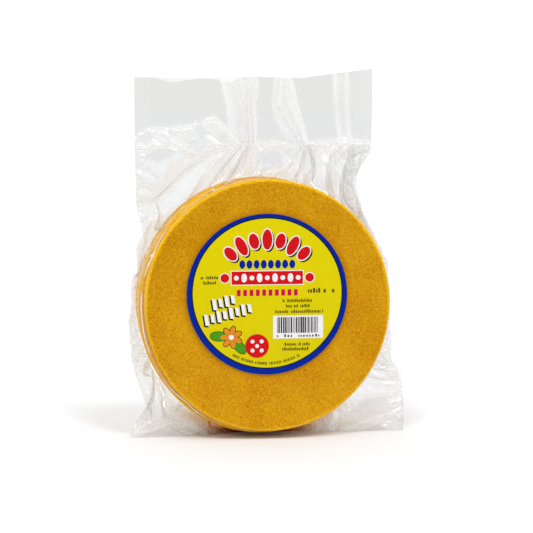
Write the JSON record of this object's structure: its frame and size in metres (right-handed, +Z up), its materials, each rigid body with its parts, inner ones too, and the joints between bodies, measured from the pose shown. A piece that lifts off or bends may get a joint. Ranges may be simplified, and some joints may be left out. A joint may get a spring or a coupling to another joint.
{
  "type": "vacuum packed arepa corn cakes",
  "caption": "Stack of round yellow corn cakes in a clear vacuum bag with crumpled seals and a round sticker, standing on its folded foot.",
  "frame": {"origin": "centre of the flat foot under the stack, on the surface the pack stands on", "axes": "+Z up the standing pack, the label faces -Y, +X to the right when facing the label"},
  "size_m": [0.1425, 0.0393, 0.187],
  "materials": {
    "corn_crumb": "fine moist crumb",
    "clear_film": "clear gloss film",
    "label_paper": "satin printed paper"
  },
  "bodies": {
    "root": {"arepa_1": "corn_crumb", "arepa_2": "corn_crumb", "arepa_3": "corn_crumb", "arepa_4": "corn_crumb", "arepa_5": "corn_crumb", "bag": "clear_film", "label": "label_paper"}
  },
  "joints": []
}
